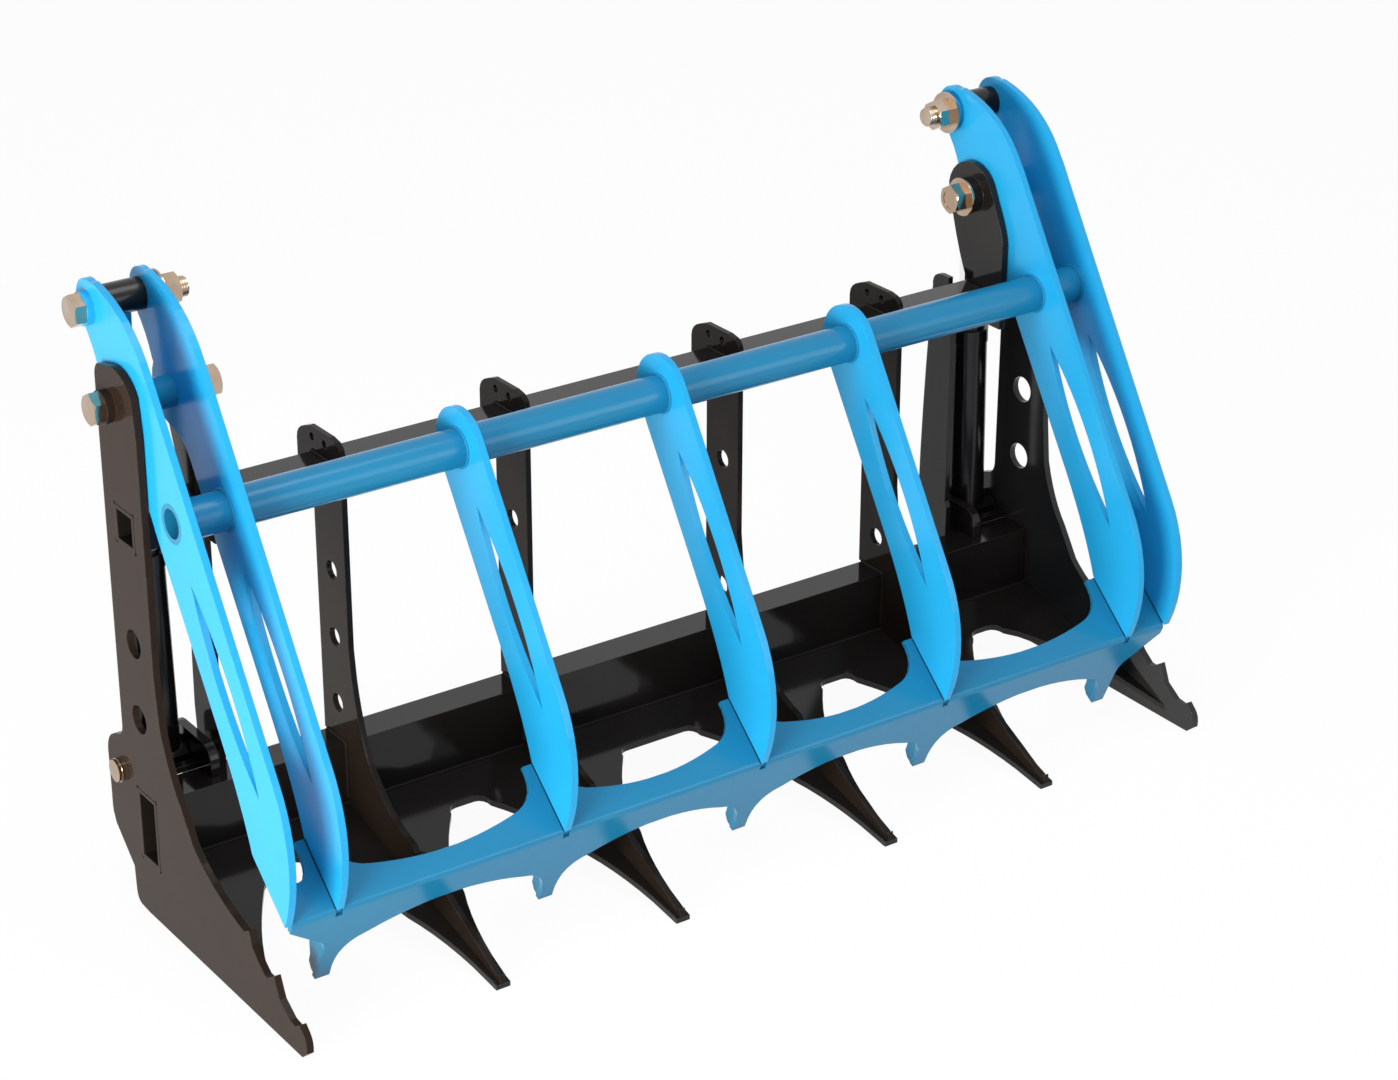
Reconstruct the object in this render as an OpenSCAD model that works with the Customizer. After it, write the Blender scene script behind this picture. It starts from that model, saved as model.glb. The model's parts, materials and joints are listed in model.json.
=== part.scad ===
// Root rake grapple for a skid steer loader.
// Black welded rake frame with six serrated laser-cut tines, and a blue clamping jaw that
// two hydraulic cylinders swing about pivot bolts at the top corners.
// Side views are drawn as (y, z): y runs rearward from the tine tips, z up from the ground.

/* [Rake frame] */
// Overall width over the two end plates
rake_w = 1826; // [1780:1:1900]
// Thickness of each end plate
end_t = 12; // [8:0.5:16]
// Thickness of each inner rib with its tine
rib_t = 10; // [6:0.5:14]
// Middle of the rake to an inner rib
rib_in_x = 215; // [180:1:250]
// Middle of the rake to an outer rib, half the coupler width
rib_out_x = 560; // [530:1:590]
// Thickness of the floor plate
floor_t = 10; // [6:0.5:12]
// Rise of the floor plate from the tips, in degrees
floor_a = 13.2; // [12.8:0.1:13.5]
// Rear edge of the end plates
end_rear = 560; // [552:1:564]
// Front edge of the end plates above the throat
end_front = 430; // [424:1:436]
// Radius of the lightening holes in the end plates
light_r = 24.4; // [15:0.1:30]
// Radius of the post holes in the inner ribs
post_r = 16.5; // [8:0.1:22]

/* [Square tubes] */
// Width of the upper square tube
upper_s = 63.5; // [58:0.5:66]
// Wall of the upper square tube
upper_wall = 6.4; // [4:0.1:9]
// Depth of the lower box tube, front to rear
box_d = 63.5; // [58:0.5:66]
// Height of the lower box tube
box_h = 127; // [118:0.5:130]
// Wall of the lower box tube
box_wall = 6.4; // [4:0.1:9]
// Clearance of the tubes in their laser-cut holes
hole_gap = 0.8; // [0.3:0.1:1.2]
// Radius of the relief at each corner of those holes
relief_r = 4; // [2:0.5:6]

/* [Coupler] */
// Middle of the rake to a lock pin slot
lock_x = 515; // [480:1:530]
// Half width of the lock pin slots
lock_r = 16; // [10:0.5:18]
// Length of the lock pin slots
lock_l = 64; // [40:1:70]

/* [Jaw] */
// Thickness of the jaw arms
arm_t = 12; // [8:0.5:14]
// Running gap between an end plate and the jaw arm inside it
arm_gap = 2.5; // [1:0.5:4]
// Spacing of the two arms of an outer pair
pair_w = 90; // [86:1:100]
// Spacing of the inner jaw arms
inner_arm_x = 388; // [370:1:395]
// Width of the straight band of an arm
band_w = 134; // [120:1:140]
// Lean of the straight band above the horizontal, in degrees
band_a = 58; // [57.5:0.1:58.5]
// Length of the lens-shaped opening in each arm
lens_l = 340; // [240:1:350]
// Width of the lens-shaped opening
lens_w = 42; // [20:1:50]
// Outer diameter of the jaw cross tube
jaw_tube_d = 64; // [56:0.5:68]
// Bore of the jaw cross tube
jaw_tube_bore = 48; // [36:0.5:50]
// Thickness of the folded toothed bar
bar_t = 9.5; // [6:0.5:12]
// Length of the upper leg at its tabs
tab_l = 125; // [120:1:130]
// Length of the lower leg at its teeth
tooth_l = 174; // [168:1:178]
// Width of each tooth of the lower leg
tooth_w = 26; // [22:1:30]
// Width of each tab of the upper leg
tab_w = 48; // [40:1:54]
// Thickness of the gussets behind the teeth
gusset_t = 12; // [8:0.5:14]

/* [Pivots] */
// Height of the jaw pivot
pivot_z = 895; // [885:1:900]
// Distance of the jaw pivot behind the tine tips
pivot_y = 518; // [514:1:522]
// Lever from the jaw pivot to the cylinder bolt
lever_r = 153; // [148:1:158]
// Direction of that lever with the jaw shut, in degrees
lever_a = 58.9; // [57:0.1:60]
// Diameter of the pivot and lever bolts
bolt_d = 31.75; // [28:0.05:34]
// Width of the bolt heads and nuts across the flats
hex_af = 47.6; // [44:0.1:50]
// Height of the bolt heads
head_h = 20; // [14:0.5:24]
// Height of the nuts
nut_h = 27; // [20:0.5:30]
// Height of the lock nuts on the lever bolts
lock_nut_h = 31; // [24:0.5:34]
// Outer diameter of the washers under the lock nuts
washer_d = 74; // [64:0.5:80]
// Thickness of those washers
washer_t = 4; // [2:0.5:6]
// Outer diameter of the sleeve between the outer arms at the pivot
sleeve_d = 52; // [48:0.5:60]
// Radial running clearance of pins and bolts
fit = 0.05; // [0.03:0.01:0.1]
// Side gap of the pieces that turn on the bolts and pins
side_gap = 0.5; // [0.3:0.1:1]

/* [Cylinders] */
// Distance of the base pin behind the tine tips
base_y = 578; // [574:1:582]
// Height of the base pin
base_z = 236; // [230:1:240]
// Diameter of the base pin
base_pin_d = 38; // [30:0.5:42]
// Outer diameter of the base tube
base_tube_d = 54; // [50:0.5:58]
// Outer diameter of the barrel
barrel_d = 73; // [68:0.5:76]
// Bore of the barrel
barrel_bore = 63.5; // [56:0.1:66]
// Base pin to the top of the gland
barrel_l = 378; // [350:1:410]
// Diameter of the chromed rod
rod_d = 35; // [28:0.05:38]
// Outer diameter of the rod eye
eye_d = 53; // [51:0.5:56]
// Clearance of the rod eye around the lever bolt
eye_slack = 5.2; // [5:0.1:5.6]
// Radial running clearance of the rod in its gland
rod_gap = 0.3; // [0.2:0.05:0.5]

/* [Hidden] */
$fn = 48;

// Side-view places
lever_y = pivot_y + lever_r * cos(lever_a);
lever_z = pivot_z + lever_r * sin(lever_a);
tube_y = 358;
tube_z = 753.5;
upper_y = 493;
upper_z = 698.5;
box_y = 488;
box_z = 166;
fold_y = 61;
fold_z = 192;
upper_a = 41;
lower_a = 65.5;
tip_y = -16;
nose_r = 42;
nose_y = lever_y - 2;
nose_z = lever_z + 5;
bend_r = 11;
slot_l = 15;
slot_gap = 0.6;
mid_y = (tip_y + nose_y + nose_r) / 2;

// Hooks of the ribs for the coupler, and the post holes in the ribs
hook_z = 710;
post_y = 479;
post_z = 295;
post_step = 121;

// Places across the width
end_x = rake_w / 2 - end_t / 2;
end_in = rake_w / 2 - end_t;
arm_a_x = end_in - arm_gap - arm_t / 2;
arm_b_x = arm_a_x - pair_w;
cyl_in = 2.5;
cyl_x = (arm_a_x + arm_b_x) / 2 - cyl_in;
ear_t = 12;
ear_x = arm_b_x - arm_t / 2 - arm_gap - ear_t / 2;
bay_t = 10;
bay_x = ear_x - 30;
bracket_t = 16;
bracket_x = arm_b_x - arm_t / 2 - bracket_t / 2 + 5.5;
base_gap_in = 2.5;
base_gap_out = 5.5;

// Bosses and bolts
bolt_r = bolt_d / 2;
boss_r = 27;
head_boss = 12.5;
end_boss = 14;
ear_boss_r = 33;
ear_boss = 25;
thread_out = 15;
pin_out = 12;
nut_x = arm_b_x - arm_t / 2 - head_boss - washer_t;

// Floor plate
floor_slope = tan(floor_a);
floor_y0 = -4;
floor_tip = -12;
floor_back = box_y - box_d / 2 - 0.3;

// Cylinders: the rod eye rests off the bolt centre, so the slack serves the whole swing
eye_dy = 3.2;
eye_dz = 3.4;
eye_y = lever_y + eye_dy;
eye_z = lever_z + eye_dz;
cyl_l = sqrt(pow(eye_y - base_y, 2) + pow(eye_z - base_z, 2));
cyl_a = atan2(eye_y - base_y, eye_z - base_z);
barrel_foot = base_tube_d / 2 - 7;
gland_h = 34;
gland_r = barrel_d / 2 + 1.5;
piston_h = 38;
piston_top = barrel_l - gland_h - 12;

// Points of an arc about c, and of a bend from p to s that q pulls on
function arc(c, r, a0, a1, n) =
    [for (i = [0:n]) c + r * [cos(a0 + (a1 - a0) * i / n), sin(a0 + (a1 - a0) * i / n)]];
function curve(p, q, s, n) =
    [for (i = [0:n]) let (t = i / n) (1 - t) * (1 - t) * p + 2 * t * (1 - t) * q + t * t * s];
function flip(pts) = [for (i = [len(pts) - 1:-1:0]) [-pts[i][0], pts[i][1]]];
function shift(pts, d) = [for (p = pts) [p[0] + d, p[1]]];
// Depth d inside the upper or lower leg of the folded bar, at distance s from the fold
function on_upper(s, d) =
    [fold_y + s * cos(upper_a) + d * sin(upper_a), fold_z + s * sin(upper_a) - d * cos(upper_a)];
function on_lower(s, d) =
    [fold_y + s * cos(lower_a) + d * sin(lower_a), fold_z - s * sin(lower_a) + d * cos(lower_a)];
function floor_top(y) = floor_slope * (y - floor_y0) + floor_t / cos(floor_a);

// A plate of thickness t that stands in the side view at x
module side(x, t) {
    translate([x, -mid_y, 0])
        rotate([90, 0, 90])
            linear_extrude(t, center = true)
                children();
}

// A round bar along X from x0 to x1 at a side-view place
module bar(y, z, r, x0, x1) {
    translate([min(x0, x1), y - mid_y, z])
        rotate([0, 90, 0])
            cylinder(r = r, h = abs(x1 - x0));
}

// A hex along X from x0 to x1
module hex(y, z, af, x0, x1) {
    translate([min(x0, x1), y - mid_y, z])
        rotate([0, 90, 0])
            cylinder(d = af / cos(30), h = abs(x1 - x0), $fn = 6);
}

// The same hex, its end at x1 chamfered round
module chamfered_hex(y, z, af, x0, x1) {
    r = af / 2 - 0.8;
    intersection() {
        hex(y, z, af, x0, x1);
        translate([x0, y - mid_y, z])
            rotate([0, x1 > x0 ? 90 : -90, 0])
                cylinder(r1 = r + abs(x1 - x0) * tan(60), r2 = r, h = abs(x1 - x0));
    }
}

// Laser-cut hole for a square or box tube, with corner reliefs
module tube_hole(y, z, w, h) {
    translate([y, z]) {
        square([w + 2 * hole_gap, h + 2 * hole_gap], center = true);
        for (i = [-1, 1], j = [-1, 1])
            translate([i * (w / 2 + hole_gap - 1), j * (h / 2 + hole_gap - 1)])
                circle(relief_r);
    }
}

// An upright slot that runs along X
module slot(r, l, h) {
    for (i = [-1, 1])
        translate([i * (l / 2 - r), 0, 0])
            cylinder(r = r, h = h);
    translate([r - l / 2, -r, 0])
        cube([l - 2 * r, 2 * r, h]);
}

// A round hole in the side view
module bore(y, z, r) {
    translate([y, z])
        circle(r);
}

// Lens-shaped opening along the band of a jaw arm
module lens() {
    r = (pow(lens_l / 2, 2) + pow(lens_w / 2, 2)) / lens_w;
    translate([214, 529.5])
        rotate(57.2)
            intersection() {
                translate([0, r - lens_w / 2])
                    circle(r, $fn = 240);
                translate([0, lens_w / 2 - r])
                    circle(r, $fn = 240);
            }
}

// Frame

module end_outline() {
    teeth = [
        [172, 136], [155, 146], [148, 123], [131, 105], [110, 89], [101, 89],
        [80, 103], [65, 68], [35, 48], [18, 46], [5, 55]
    ];
    polygon(concat(
        [[0, 0], [510, 0]],
        curve([536, 2], [553, 4], [553, 29], 5),
        [[555, 66], [612, 120]],
        curve([620, 139], [622, 150], [621, 176], 3),
        curve([622, 241], [627, 287], [582, 299], 6),
        curve([580, 299.5], [562, 303], [end_rear, 324], 4),
        arc([end_rear - 30, pivot_z + 36], 30, 0, 50, 5),
        arc([495, pivot_z + 5], 65, 82, 180 - 28, 7),
        [[end_front, pivot_z - 26], [end_front, 463]],
        curve([421, 377], [402, 306], [368, 267], 6),
        curve([332, 212], [291, 172], [210, 146], 7),
        teeth,
        curve([-7, 44], [-18, 33], [-15, 13], 4)
    ));
}

module end_plate(s) {
    color("#1d1b1b") {
        side(s * end_x, end_t)
            difference() {
                end_outline();
                tube_hole(upper_y, upper_z, upper_s, upper_s);
                tube_hole(box_y, box_z, box_d, box_h);
                bore(end_rear - 67, 498, light_r);
                bore(end_rear - 67, 364, light_r);
                bore(pivot_y, pivot_z, bolt_r + fit);
                bore(base_y, base_z, base_pin_d / 2 + fit);
            }
        difference() {
            bar(pivot_y, pivot_z, boss_r, s * rake_w / 2, s * (rake_w / 2 + end_boss));
            bar(pivot_y, pivot_z, bolt_r + fit, s * (rake_w / 2 - 1), s * (rake_w / 2 + end_boss + 1));
        }
    }
}
module end_plate_left() { end_plate(-1); }
module end_plate_right() { end_plate(1); }

module rib_outline() {
    polygon(concat(
        [[floor_tip + 1, floor_top(floor_tip + 1)], [floor_back, floor_top(floor_back)]],
        [[box_y - box_d / 2 - hole_gap, box_z + box_h / 2 + hole_gap]],
        [[527, box_z + box_h / 2 + hole_gap], [527, hook_z], [532, hook_z + 4]],
        [[566, hook_z - 20], [574, hook_z - 13]],
        curve([574, 738], [573, 758], [547, 767], 4),
        [[531, 773], [466, 774]],
        curve([448, 771], [436, 766], [434, 756], 3),
        [[434, 410]],
        curve([428, 358], [414, 276], [383, 220], 6),
        curve([353, 188], [316, 148], [252, 133], 6),
        [[243, 124], [227, 130], [138, 88], [62, 50], [1, 18], [-9, 24]]
    ));
}

module rib(x) {
    color("#1d1b1b")
        side(x, rib_t)
            difference() {
                rib_outline();
                tube_hole(upper_y, upper_z, upper_s, upper_s);
                for (i = [0:2])
                    bore(post_y, post_z + i * post_step, post_r);
                for (y = [483, 523])
                    bore(y, 756, 7);
                bore(box_y - box_d / 2 - hole_gap + 1, box_z + box_h / 2 + hole_gap - 1, relief_r);
            }
}
module rib_1() { rib(-rib_out_x); }
module rib_2() { rib(-rib_in_x); }
module rib_3() { rib(rib_in_x); }
module rib_4() { rib(rib_out_x); }

// One gap between two fingers: h is half the spacing of the tines, and side the
// half width of the gap where it starts to close
module finger_gap(h) {
    half = concat(
        [[h - 13, -40], [h - 13, 0]],
        curve([h - 18, 50], [h - 29, 130], [h - 54, 190], 5),
        curve([h - 66, 240], [h - 78, 290], [h - 134, 360], 6),
        arc([h - 154, 360], 20, 0, 90, 4)
    );
    polygon(concat(half, flip(half)));
}

// The gap beside an end plate
module end_gap() {
    w = end_in - rib_out_x;
    polygon(concat(
        [[13, -40], [13, 0]],
        curve([18, 50], [29, 130], [54, 190], 5),
        curve([66, 240], [78, 290], [134, 360], 6),
        arc([160, 356], 24, 170, 90, 4),
        arc([w - 156, 356], 24, 90, 10, 4),
        curve([w - 113, 341], [w - 50, 250], [w - 27, 176], 6),
        [[w, 60], [w, -40]]
    ));
}

// Plan of the floor plate, x across and y measured along the ground
module floor_plan() {
    difference() {
        translate([-end_in, floor_tip])
            square([2 * end_in, floor_back - floor_tip]);
        finger_gap(rib_in_x);
        for (s = [-1, 1]) {
            translate([s * (rib_in_x + rib_out_x) / 2, 0])
                finger_gap((rib_out_x - rib_in_x) / 2);
            scale([s, 1])
                translate([rib_out_x, 0])
                    end_gap();
        }
    }
}

module floor_plate() {
    color("#1d1b1b")
        translate([0, -mid_y, 0])
            intersection() {
                linear_extrude(box_z + box_h)
                    floor_plan();
                translate([0, floor_y0, 0])
                    rotate([floor_a, 0, 0])
                        translate([-end_in, -40, 0])
                            cube([2 * end_in, floor_back + 80, floor_t]);
            }
}

module upper_tube() {
    in = upper_s - 2 * upper_wall;
    color("#1b1a1a")
        side(0, rake_w)
            translate([upper_y, upper_z])
                difference() {
                    square(upper_s, center = true);
                    square(in, center = true);
                }
}

module lower_box() {
    color("#1b1a1a")
        side(0, rake_w)
            translate([box_y, box_z])
                difference() {
                    square([box_d, box_h], center = true);
                    square([box_d - 2 * box_wall, box_h - 2 * box_wall], center = true);
                }
}

// Saddle on the upper tube that carries the inner end of a pivot bolt
module ear(s) {
    top = upper_z + upper_s / 2 + hole_gap;
    front = upper_y - upper_s / 2 - hole_gap;
    color("#1d1b1b") {
        side(s * ear_x, ear_t)
            difference() {
                polygon(concat(
                    [[427, 665], [front, 665], [front, top], [522, top]],
                    curve([522, 729], [560, 800], [pivot_y + 64, pivot_z + 4], 6),
                    arc([pivot_y + 4, pivot_z - 2], 61, 6, 150, 10),
                    curve([pivot_y - 60, pivot_z + 5], [430, 850], [427, 824], 4)
                ));
                bore(pivot_y, pivot_z, bolt_r + fit);
                bore(front + 1, top - 1, relief_r);
            }
        difference() {
            bar(pivot_y, pivot_z, ear_boss_r, s * (ear_x - ear_t / 2), s * (ear_x - ear_t / 2 - ear_boss));
            bar(pivot_y, pivot_z, bolt_r + fit, s * ear_x, s * (ear_x - ear_t / 2 - ear_boss - 1));
        }
    }
}
module ear_left() { ear(-1); }
module ear_right() { ear(1); }

// Stiffener plate behind the two tubes, next to a cylinder bay
module bay_plate(s) {
    front = upper_y + upper_s / 2 + 0.3;
    rear = box_y + box_d / 2 + 0.3;
    low = box_z;
    color("#1d1b1b")
        side(s * bay_x, bay_t)
            polygon(concat(
                [[rear, low], [rear + 30, low], [598, low + 60]],
                curve([603, 300], [600, 500], [582, 712], 5),
                arc([561, 714], 22, 0, 90, 4),
                [[538, 736], [538, 704], [front, 694], [front, low + 130], [rear, low + 120]]
            ));
}
module bay_plate_left() { bay_plate(-1); }
module bay_plate_right() { bay_plate(1); }

// Inner plate of the cylinder base, its foot on the lower box
module bracket(s) {
    low = box_z + box_h / 2 + 0.3;
    rear = box_y + box_d / 2 + 0.3;
    color("#1d1b1b")
        side(s * bracket_x, bracket_t)
            difference() {
                polygon(concat(
                    [[478, low], [rear, low], [rear, base_z - 60], [rear + 20, base_z - 60]],
                    curve([base_y + 20, base_z - 42], [base_y + 42, base_z - 30], [base_y + 42, base_z], 4),
                    curve([base_y + 42, base_z + 28], [base_y + 36, base_z + 46],
                        [base_y + 14, base_z + 47], 4),
                    arc([507, base_z + 17], 30, 90, 180, 6)
                ));
                bore(base_y, base_z, base_pin_d / 2 + fit);
            }
}
module bracket_left() { bracket(-1); }
module bracket_right() { bracket(1); }

// Flat tie between an end plate and the bracket, on the rear edge of the lower box
module strap(s) {
    x0 = bracket_x + bracket_t / 2 + 0.3;
    x1 = end_in - 0.3;
    color("#1d1b1b")
        translate([s > 0 ? x0 : -x1, box_y + box_d / 2 + 0.3 - mid_y, box_z + box_h / 2 + 0.5])
            cube([x1 - x0, 16, 11]);
}
module strap_left() { strap(-1); }
module strap_right() { strap(1); }

// Lip under the rib hooks, for the top edge of the loader's coupler
module coupler_lip() {
    color("#1d1b1b")
        side(0, 2 * rib_out_x + rib_t)
            polygon([[532, hook_z + 3.7], [566, hook_z - 20.3], [561.4, hook_z - 26.8], [532, hook_z - 6]]);
}

// Plate behind the lower box with the two lock pin slots
module lock_plate() {
    rear = box_y + box_d / 2 + 0.3;
    low = box_z - box_h / 2;
    color("#1d1b1b")
        difference() {
            side(0, 2 * rib_out_x + rib_t)
                polygon([
                    [rear, low + 4], [rear, low + 88], [rear + 9, low + 88], [rear + 9, low + 7],
                    [rear + 63, low - 13], [rear + 60, low - 21]
                ]);
            for (s = [-1, 1])
                translate([s * lock_x, rear + 36 - mid_y, low - 40])
                    slot(lock_r, lock_l, 80);
        }
}

// Bolts, nuts and pins

module pivot_bolt(s) {
    x0 = rake_w / 2 + end_boss;
    x1 = ear_x - ear_t / 2 - ear_boss - nut_h + 1;
    color("#b9b7b0") {
        bar(pivot_y, pivot_z, bolt_r, s * x0, s * x1);
        chamfered_hex(pivot_y, pivot_z, hex_af, s * x0, s * (x0 + head_h));
    }
}
module pivot_bolt_left() { pivot_bolt(-1); }
module pivot_bolt_right() { pivot_bolt(1); }

module nut(y, z, s, x0, h) {
    color("#b9b7b0")
        difference() {
            chamfered_hex(y, z, hex_af, s * x0, s * (x0 - h));
            bar(y, z, bolt_r + fit, s * (x0 + 1), s * (x0 - h - 1));
        }
}
module pivot_nut_left() { nut(pivot_y, pivot_z, -1, ear_x - ear_t / 2 - ear_boss, nut_h); }
module pivot_nut_right() { nut(pivot_y, pivot_z, 1, ear_x - ear_t / 2 - ear_boss, nut_h); }

module base_pin(s) {
    x0 = rake_w / 2 + pin_out;
    r = base_pin_d / 2;
    color("#b9b7b0")
        difference() {
            bar(base_y, base_z, r, s * x0, s * (bracket_x - bracket_t / 2 - pin_out));
            difference() {
                bar(base_y, base_z, r + 2, s * (x0 - 5), s * (x0 - 7));
                bar(base_y, base_z, r - 1.2, s * (x0 - 4), s * (x0 - 8));
            }
        }
}
module base_pin_left() { base_pin(-1); }
module base_pin_right() { base_pin(1); }

// Jaw

module claw_outline() {
    half = band_w / 2;
    polygon(concat(
        arc([tube_y, tube_z], half, band_a - 90, band_a + 90, 16),
        [[82, 440]],
        arc([289, 298.4], 250.8, 147, 204.2, 10),
        [on_upper(1, -0.3), on_upper(tab_l - 2, -0.3)],
        curve([157, 277], [183, 352], [243, 448], 8)
    ));
}

// Outer arm with the lever above its pivot
module lever_outline() {
    polygon(concat(
        [[243, 448], [82, 440], [301, 791], [410, 966]],
        curve([415, 972], [466, 1056], [575, 1073], 8),
        arc([nose_y, nose_z], nose_r, 105, -14, 8),
        curve([lever_y + 40, lever_z - 12], [590, 975], [pivot_y + 56, pivot_z + 34], 5),
        arc([pivot_y, pivot_z], 61, 30, -80, 8),
        curve([524, 833], [485, 832], [462, 795], 5)
    ));
}

module arm(x, outer, s) {
    bore_r = jaw_tube_d / 2 + 0.1;
    color("#1f6fd0") {
        side(x, arm_t)
            difference() {
                union() {
                    claw_outline();
                    if (outer)
                        lever_outline();
                }
                lens();
                bore(tube_y, tube_z, bore_r);
                if (outer) {
                    bore(pivot_y, pivot_z, bolt_r + fit);
                    bore(lever_y, lever_z, bolt_r + fit);
                }
            }
        if (outer)
            difference() {
                bar(lever_y, lever_z, boss_r, x + s * arm_t / 2, x + s * (arm_t / 2 + head_boss));
                bar(lever_y, lever_z, bolt_r + fit, x, x + s * (arm_t + head_boss));
            }
    }
}
module arm_a() { arm(-arm_a_x, true, -1); }
module arm_b() { arm(-arm_b_x, true, 1); }
module arm_e1() { arm(-inner_arm_x, false, 1); }
module arm_e2() { arm(0, false, 1); }
module arm_e3() { arm(inner_arm_x, false, 1); }
module arm_c() { arm(arm_b_x, true, -1); }
module arm_d() { arm(arm_a_x, true, 1); }

module jaw_tube() {
    x1 = arm_a_x + arm_t / 2;
    color("#1a5fb8")
        difference() {
            bar(tube_y, tube_z, jaw_tube_d / 2, -x1, x1);
            bar(tube_y, tube_z, jaw_tube_bore / 2, -x1 - 1, x1 + 1);
        }
}

// Edge of a leg from a tab or tooth to the middle of the bay, h away, then its mirror image
function tab_edge(x, h) = shift(concat(
    [[tab_w / 2, tab_l]],
    curve([tab_w / 2, 114], [27, 64], [82, 54], 6),
    arch([82, 54], [h * 0.7, 40], [h, 39.5])
), x);
function tooth_edge(x, h) = shift(concat(
    [[tooth_w / 2, tooth_l]],
    curve([tooth_w / 2, 150], [16, 98], [62, 88], 6),
    arch([62, 88], [h * 0.65, 60], [h, 59])
), x);
function arch(p, q, s) = let (a = curve(p, q, s, 6)) [for (i = [1:5]) a[i]];
function end_edge(x) = shift(concat(
    [[-42, 56]],
    curve([-26, 69], [-12, 80], [-11, 98], 4),
    [[-tooth_w / 2, tooth_l]]
), x);
function bay(x) = abs(x) < inner_arm_x ? inner_arm_x / 2 : (arm_b_x - inner_arm_x) / 2;
function mirrored(pts, x) = shift(flip(shift(pts, -x)), x);

module upper_leg() {
    end = arm_a_x - arm_t / 2 - 0.2;
    places = [-arm_b_x, -inner_arm_x, 0, inner_arm_x, arm_b_x];
    inner = [for (x = places) each concat(
        abs(x) > inner_arm_x && x < 0
            ? concat(curve([x - 47, 62], [x - tab_w / 2 - 2, 62], [x - tab_w / 2, 100], 5),
                [[x - tab_w / 2, tab_l]])
            : mirrored(tab_edge(x, bay(x - 1)), x),
        abs(x) > inner_arm_x && x > 0
            ? concat([[x + tab_w / 2, tab_l]],
                curve([x + tab_w / 2, 100], [x + tab_w / 2 + 2, 62], [x + 47, 62], 5))
            : tab_edge(x, bay(x + 1))
    )];
    linear_extrude(bar_t)
        polygon(concat(
            [[-end, 0], [-end, 100], [-end + 10, 82]],
            inner,
            [[end - 10, 82], [end, 100], [end, 0]]
        ));
}

module lower_leg() {
    end = arm_a_x - arm_t / 2 - 0.2;
    places = [-arm_b_x, -inner_arm_x, 0, inner_arm_x, arm_b_x];
    inner = [for (x = places) each concat(
        x < -inner_arm_x ? end_edge(x) : mirrored(tooth_edge(x, bay(x - 1)), x),
        x > inner_arm_x ? mirrored(end_edge(-x), 0) : tooth_edge(x, bay(x + 1))
    )];
    linear_extrude(bar_t)
        polygon(concat(
            [[-end, 0], [-end, 20]],
            inner,
            [[end, 20], [end, 0]]
        ));
}

// Folded bar whose two serrated legs tie the arm tips together
module toothed_bar() {
    color("#1a5fb8")
        difference() {
            translate([0, fold_y - mid_y, fold_z])
                union() {
                    rotate([upper_a, 0, 0])
                        translate([0, 0, -bar_t])
                            upper_leg();
                    rotate([-lower_a, 0, 0])
                        lower_leg();
                }
            side(0, rake_w)
                bend_waste();
            for (x = [-arm_b_x, -inner_arm_x, 0, inner_arm_x, arm_b_x])
                side(x, gusset_t + 2 * slot_gap)
                    fold_slot();
        }
}

// What the bend leaves of the sharp outer corner of the fold
module bend_waste() {
    mid = (upper_a + lower_a) / 2;
    far = bend_r / sin(mid);
    lean = (upper_a - lower_a) / 2;
    c = [fold_y + far * cos(lean), fold_z + far * sin(lean)];
    polygon(concat(
        arc(c, bend_r, 90 + upper_a, 270 - lower_a, 8),
        [on_lower(bend_r / tan(mid), -4), [fold_y - 8, fold_z], on_upper(bend_r / tan(mid), -4)]
    ));
}

// Slot through the fold that the corner of a gusset fills
module fold_slot() {
    polygon([
        on_lower(slot_l, bar_t + 5), on_lower(slot_l, -5), [fold_y - 12, fold_z],
        on_upper(slot_l, -5), on_upper(slot_l, bar_t + 5)
    ]);
}

module gusset_outline() {
    g = 0.3;
    in = 4;
    tip = in / tan((upper_a + lower_a) / 2);
    polygon([
        on_upper(tip, in), on_lower(slot_l - slot_gap, in), on_lower(slot_l - slot_gap, bar_t + g),
        on_lower(tooth_l - 1, bar_t + g), [142, 28], [158, 39], [163, 51], [158, 65],
        on_upper(tab_l - 4, bar_t + g), on_upper(slot_l - slot_gap, bar_t + g),
        on_upper(slot_l - slot_gap, in)
    ]);
}

module gussets() {
    color("#1f6fd0")
        for (x = [-arm_b_x, -inner_arm_x, 0, inner_arm_x, arm_b_x])
            side(x, gusset_t)
                gusset_outline();
}

module sleeve(s) {
    x0 = arm_b_x + arm_t / 2;
    x1 = arm_a_x - arm_t / 2;
    color("#1f6fd0")
        difference() {
            bar(pivot_y, pivot_z, sleeve_d / 2, s * x0, s * x1);
            bar(pivot_y, pivot_z, bolt_r + fit, s * (x0 - 1), s * (x1 + 1));
        }
}
module sleeve_left() { sleeve(-1); }
module sleeve_right() { sleeve(1); }

module lever_bolt(s) {
    x0 = arm_a_x + arm_t / 2 + head_boss;
    x1 = nut_x - lock_nut_h - thread_out;
    color("#b9b7b0") {
        bar(lever_y, lever_z, bolt_r, s * x0, s * x1);
        chamfered_hex(lever_y, lever_z, hex_af, s * x0, s * (x0 + head_h));
    }
}
module lever_bolt_left() { lever_bolt(-1); }
module lever_bolt_right() { lever_bolt(1); }

module lever_nut_left() { nut(lever_y, lever_z, -1, nut_x, lock_nut_h); }
module lever_nut_right() { nut(lever_y, lever_z, 1, nut_x, lock_nut_h); }

module washer(s) {
    color("#b9b7b0")
        difference() {
            bar(lever_y, lever_z, washer_d / 2, s * nut_x, s * (nut_x + washer_t));
            bar(lever_y, lever_z, bolt_r + fit, s * (nut_x - 1), s * (nut_x + washer_t + 1));
        }
}
module washer_left() { washer(-1); }
module washer_right() { washer(1); }

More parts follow.
